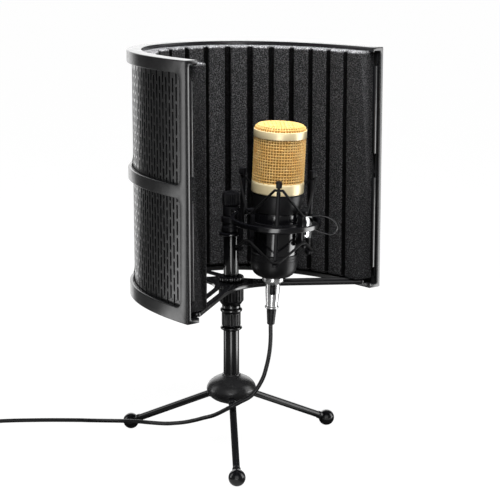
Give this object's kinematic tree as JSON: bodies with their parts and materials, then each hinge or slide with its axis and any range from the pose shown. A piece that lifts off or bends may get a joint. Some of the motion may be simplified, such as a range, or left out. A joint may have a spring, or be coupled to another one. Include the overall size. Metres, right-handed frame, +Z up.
{
  "type": "microphone isolation shield",
  "caption": "Desktop acoustic shield: curved slotted screen lined with ribbed foam on a tripod column, with a shock-mounted condenser microphone and its cable.",
  "frame": {"origin": "bottom centre of the assembly's box, without the cable, on the surface it stands on", "axes": "+Z up; the shield's opening faces -Y; +X to the right when looking into the opening"},
  "size_m": [0.3434, 0.3764, 0.3688],
  "materials": {
    "frame_plastic": "satin moulding",
    "sheet_metal": "black satin, slotted",
    "foam": "open-cell acoustic foam",
    "black_steel": "black satin coat",
    "gloss_black": "gloss black",
    "black_plastic": "satin black",
    "satin_black": "satin black",
    "grip_rubber": "fluted rubber grip",
    "cable_rubber": "matt cable jacket",
    "elastic": "woven elastic cord",
    "chrome": "bright",
    "gold_mesh": "gold wire mesh",
    "gold": "pale gold satin"
  },
  "bodies": {
    "tripod": {"hub": "black_steel", "leg_front": "black_steel", "leg_left": "black_steel", "leg_right": "black_steel", "foot_front": "gloss_black", "foot_left": "gloss_black", "foot_right": "gloss_black", "lower_tube": "black_steel", "clutch_lower_ring": "gloss_black", "cable": "cable_rubber", "cable_coil": "cable_rubber", "jack_plug": "chrome"},
    "clutch": {"clutch_grip": "grip_rubber", "clutch_upper_ring": "gloss_black"},
    "post": {"inner_tube": "chrome", "collar": "black_plastic", "upper_tube": "black_steel", "top_flange": "gloss_black", "mount_socket": "black_plastic"},
    "shield": {"top_rail": "frame_plastic", "middle_rail": "frame_plastic", "bottom_rail": "frame_plastic", "end_bar_left_lower": "frame_plastic", "end_bar_left_upper": "frame_plastic", "mullion_left_lower": "frame_plastic", "mullion_left_upper": "frame_plastic", "mullion_right_lower": "frame_plastic", "mullion_right_upper": "frame_plastic", "end_bar_right_lower": "frame_plastic", "end_bar_right_upper": "frame_plastic", "foam_retainer_left_lower": "frame_plastic", "foam_retainer_left_upper": "frame_plastic", "foam_retainer_right_lower": "frame_plastic", "foam_retainer_right_upper": "frame_plastic", "perforated_sheet": "sheet_metal", "foam_lining": "foam", "bracket": "black_steel"},
    "ring_nut": {"ring_nut": "black_steel"},
    "clamp_nut": {"clamp_nut": "black_plastic"},
    "arm": {"swivel_arm": "black_plastic", "hinge_pin": "chrome"},
    "hoop": {"hoop": "gloss_black", "post_left": "black_plastic", "post_right": "black_plastic", "post_rear": "black_plastic", "elastic_upper": "elastic", "elastic_lower": "elastic"},
    "cradle": {"cradle": "black_plastic", "clamp_plate": "chrome", "mic_grille": "gold_mesh", "mic_band_upper": "gold", "mic_band_lower": "gold", "mic_collar": "satin_black", "mic_body": "gloss_black", "mic_bell": "satin_black", "plug_shell": "chrome", "plug_boot": "cable_rubber"},
    "wire_handle": {"wire_handle": "black_steel"},
    "latch": {"plug_latch": "gloss_black"}
  },
  "joints": [
    {"name": "clutch_twist", "type": "hinge", "parent": "tripod", "child": "clutch", "pos_m": [-0.0022, -0.00616, 0.121], "axis": [0, 0, 1], "range_deg": [-90, 0]},
    {"name": "height", "type": "slide", "parent": "tripod", "child": "post", "axis": [0, 0, 1], "range_m": [0, 0.04]},
    {"name": "shield_turn", "type": "hinge", "parent": "post", "child": "shield", "pos_m": [-0.0022, -0.00616, 0.155], "axis": [0, 0, 1], "range_deg": [-15, 15]},
    {"name": "ring_nut_turn", "type": "hinge", "parent": "post", "child": "ring_nut", "pos_m": [-0.0022, -0.00616, 0.159], "axis": [0, 0, 1], "continuous": true},
    {"name": "clamp_nut_turn", "type": "hinge", "parent": "post", "child": "clamp_nut", "pos_m": [-0.0022, -0.00616, 0.232], "axis": [0, 0, 1], "continuous": true},
    {"name": "arm_turn", "type": "hinge", "parent": "post", "child": "arm", "pos_m": [-0.0022, -0.00616, 0.222], "axis": [0, 0, 1], "range_deg": [-40, 15]},
    {"name": "hoop_tilt", "type": "hinge", "parent": "arm", "child": "hoop", "pos_m": [-0.00064, -0.01541, 0.22189], "axis": [0.986, 0.1668, 0], "range_deg": [-20, 6]},
    {"name": "suspension", "type": "slide", "parent": "hoop", "child": "cradle", "axis": [0.0099, -0.0585, 0.9982], "range_m": [-0.002, 0.002], "stiffness_N_per_m": 2500, "springref_m": 0.0015},
    {"name": "handle_squeeze", "type": "hinge", "parent": "cradle", "child": "wire_handle", "pos_m": [0.02567, -0.07459, 0.21816], "axis": [0.6483, 0.7604, 0.0381], "range_deg": [-8, 0], "stiffness_Nm_per_rad": 0.08},
    {"name": "latch_press", "type": "slide", "parent": "cradle", "child": "latch", "axis": [-0.6349, -0.7716, -0.0389], "range_m": [-0.0012, 0], "stiffness_N_per_m": 400}
  ]
}
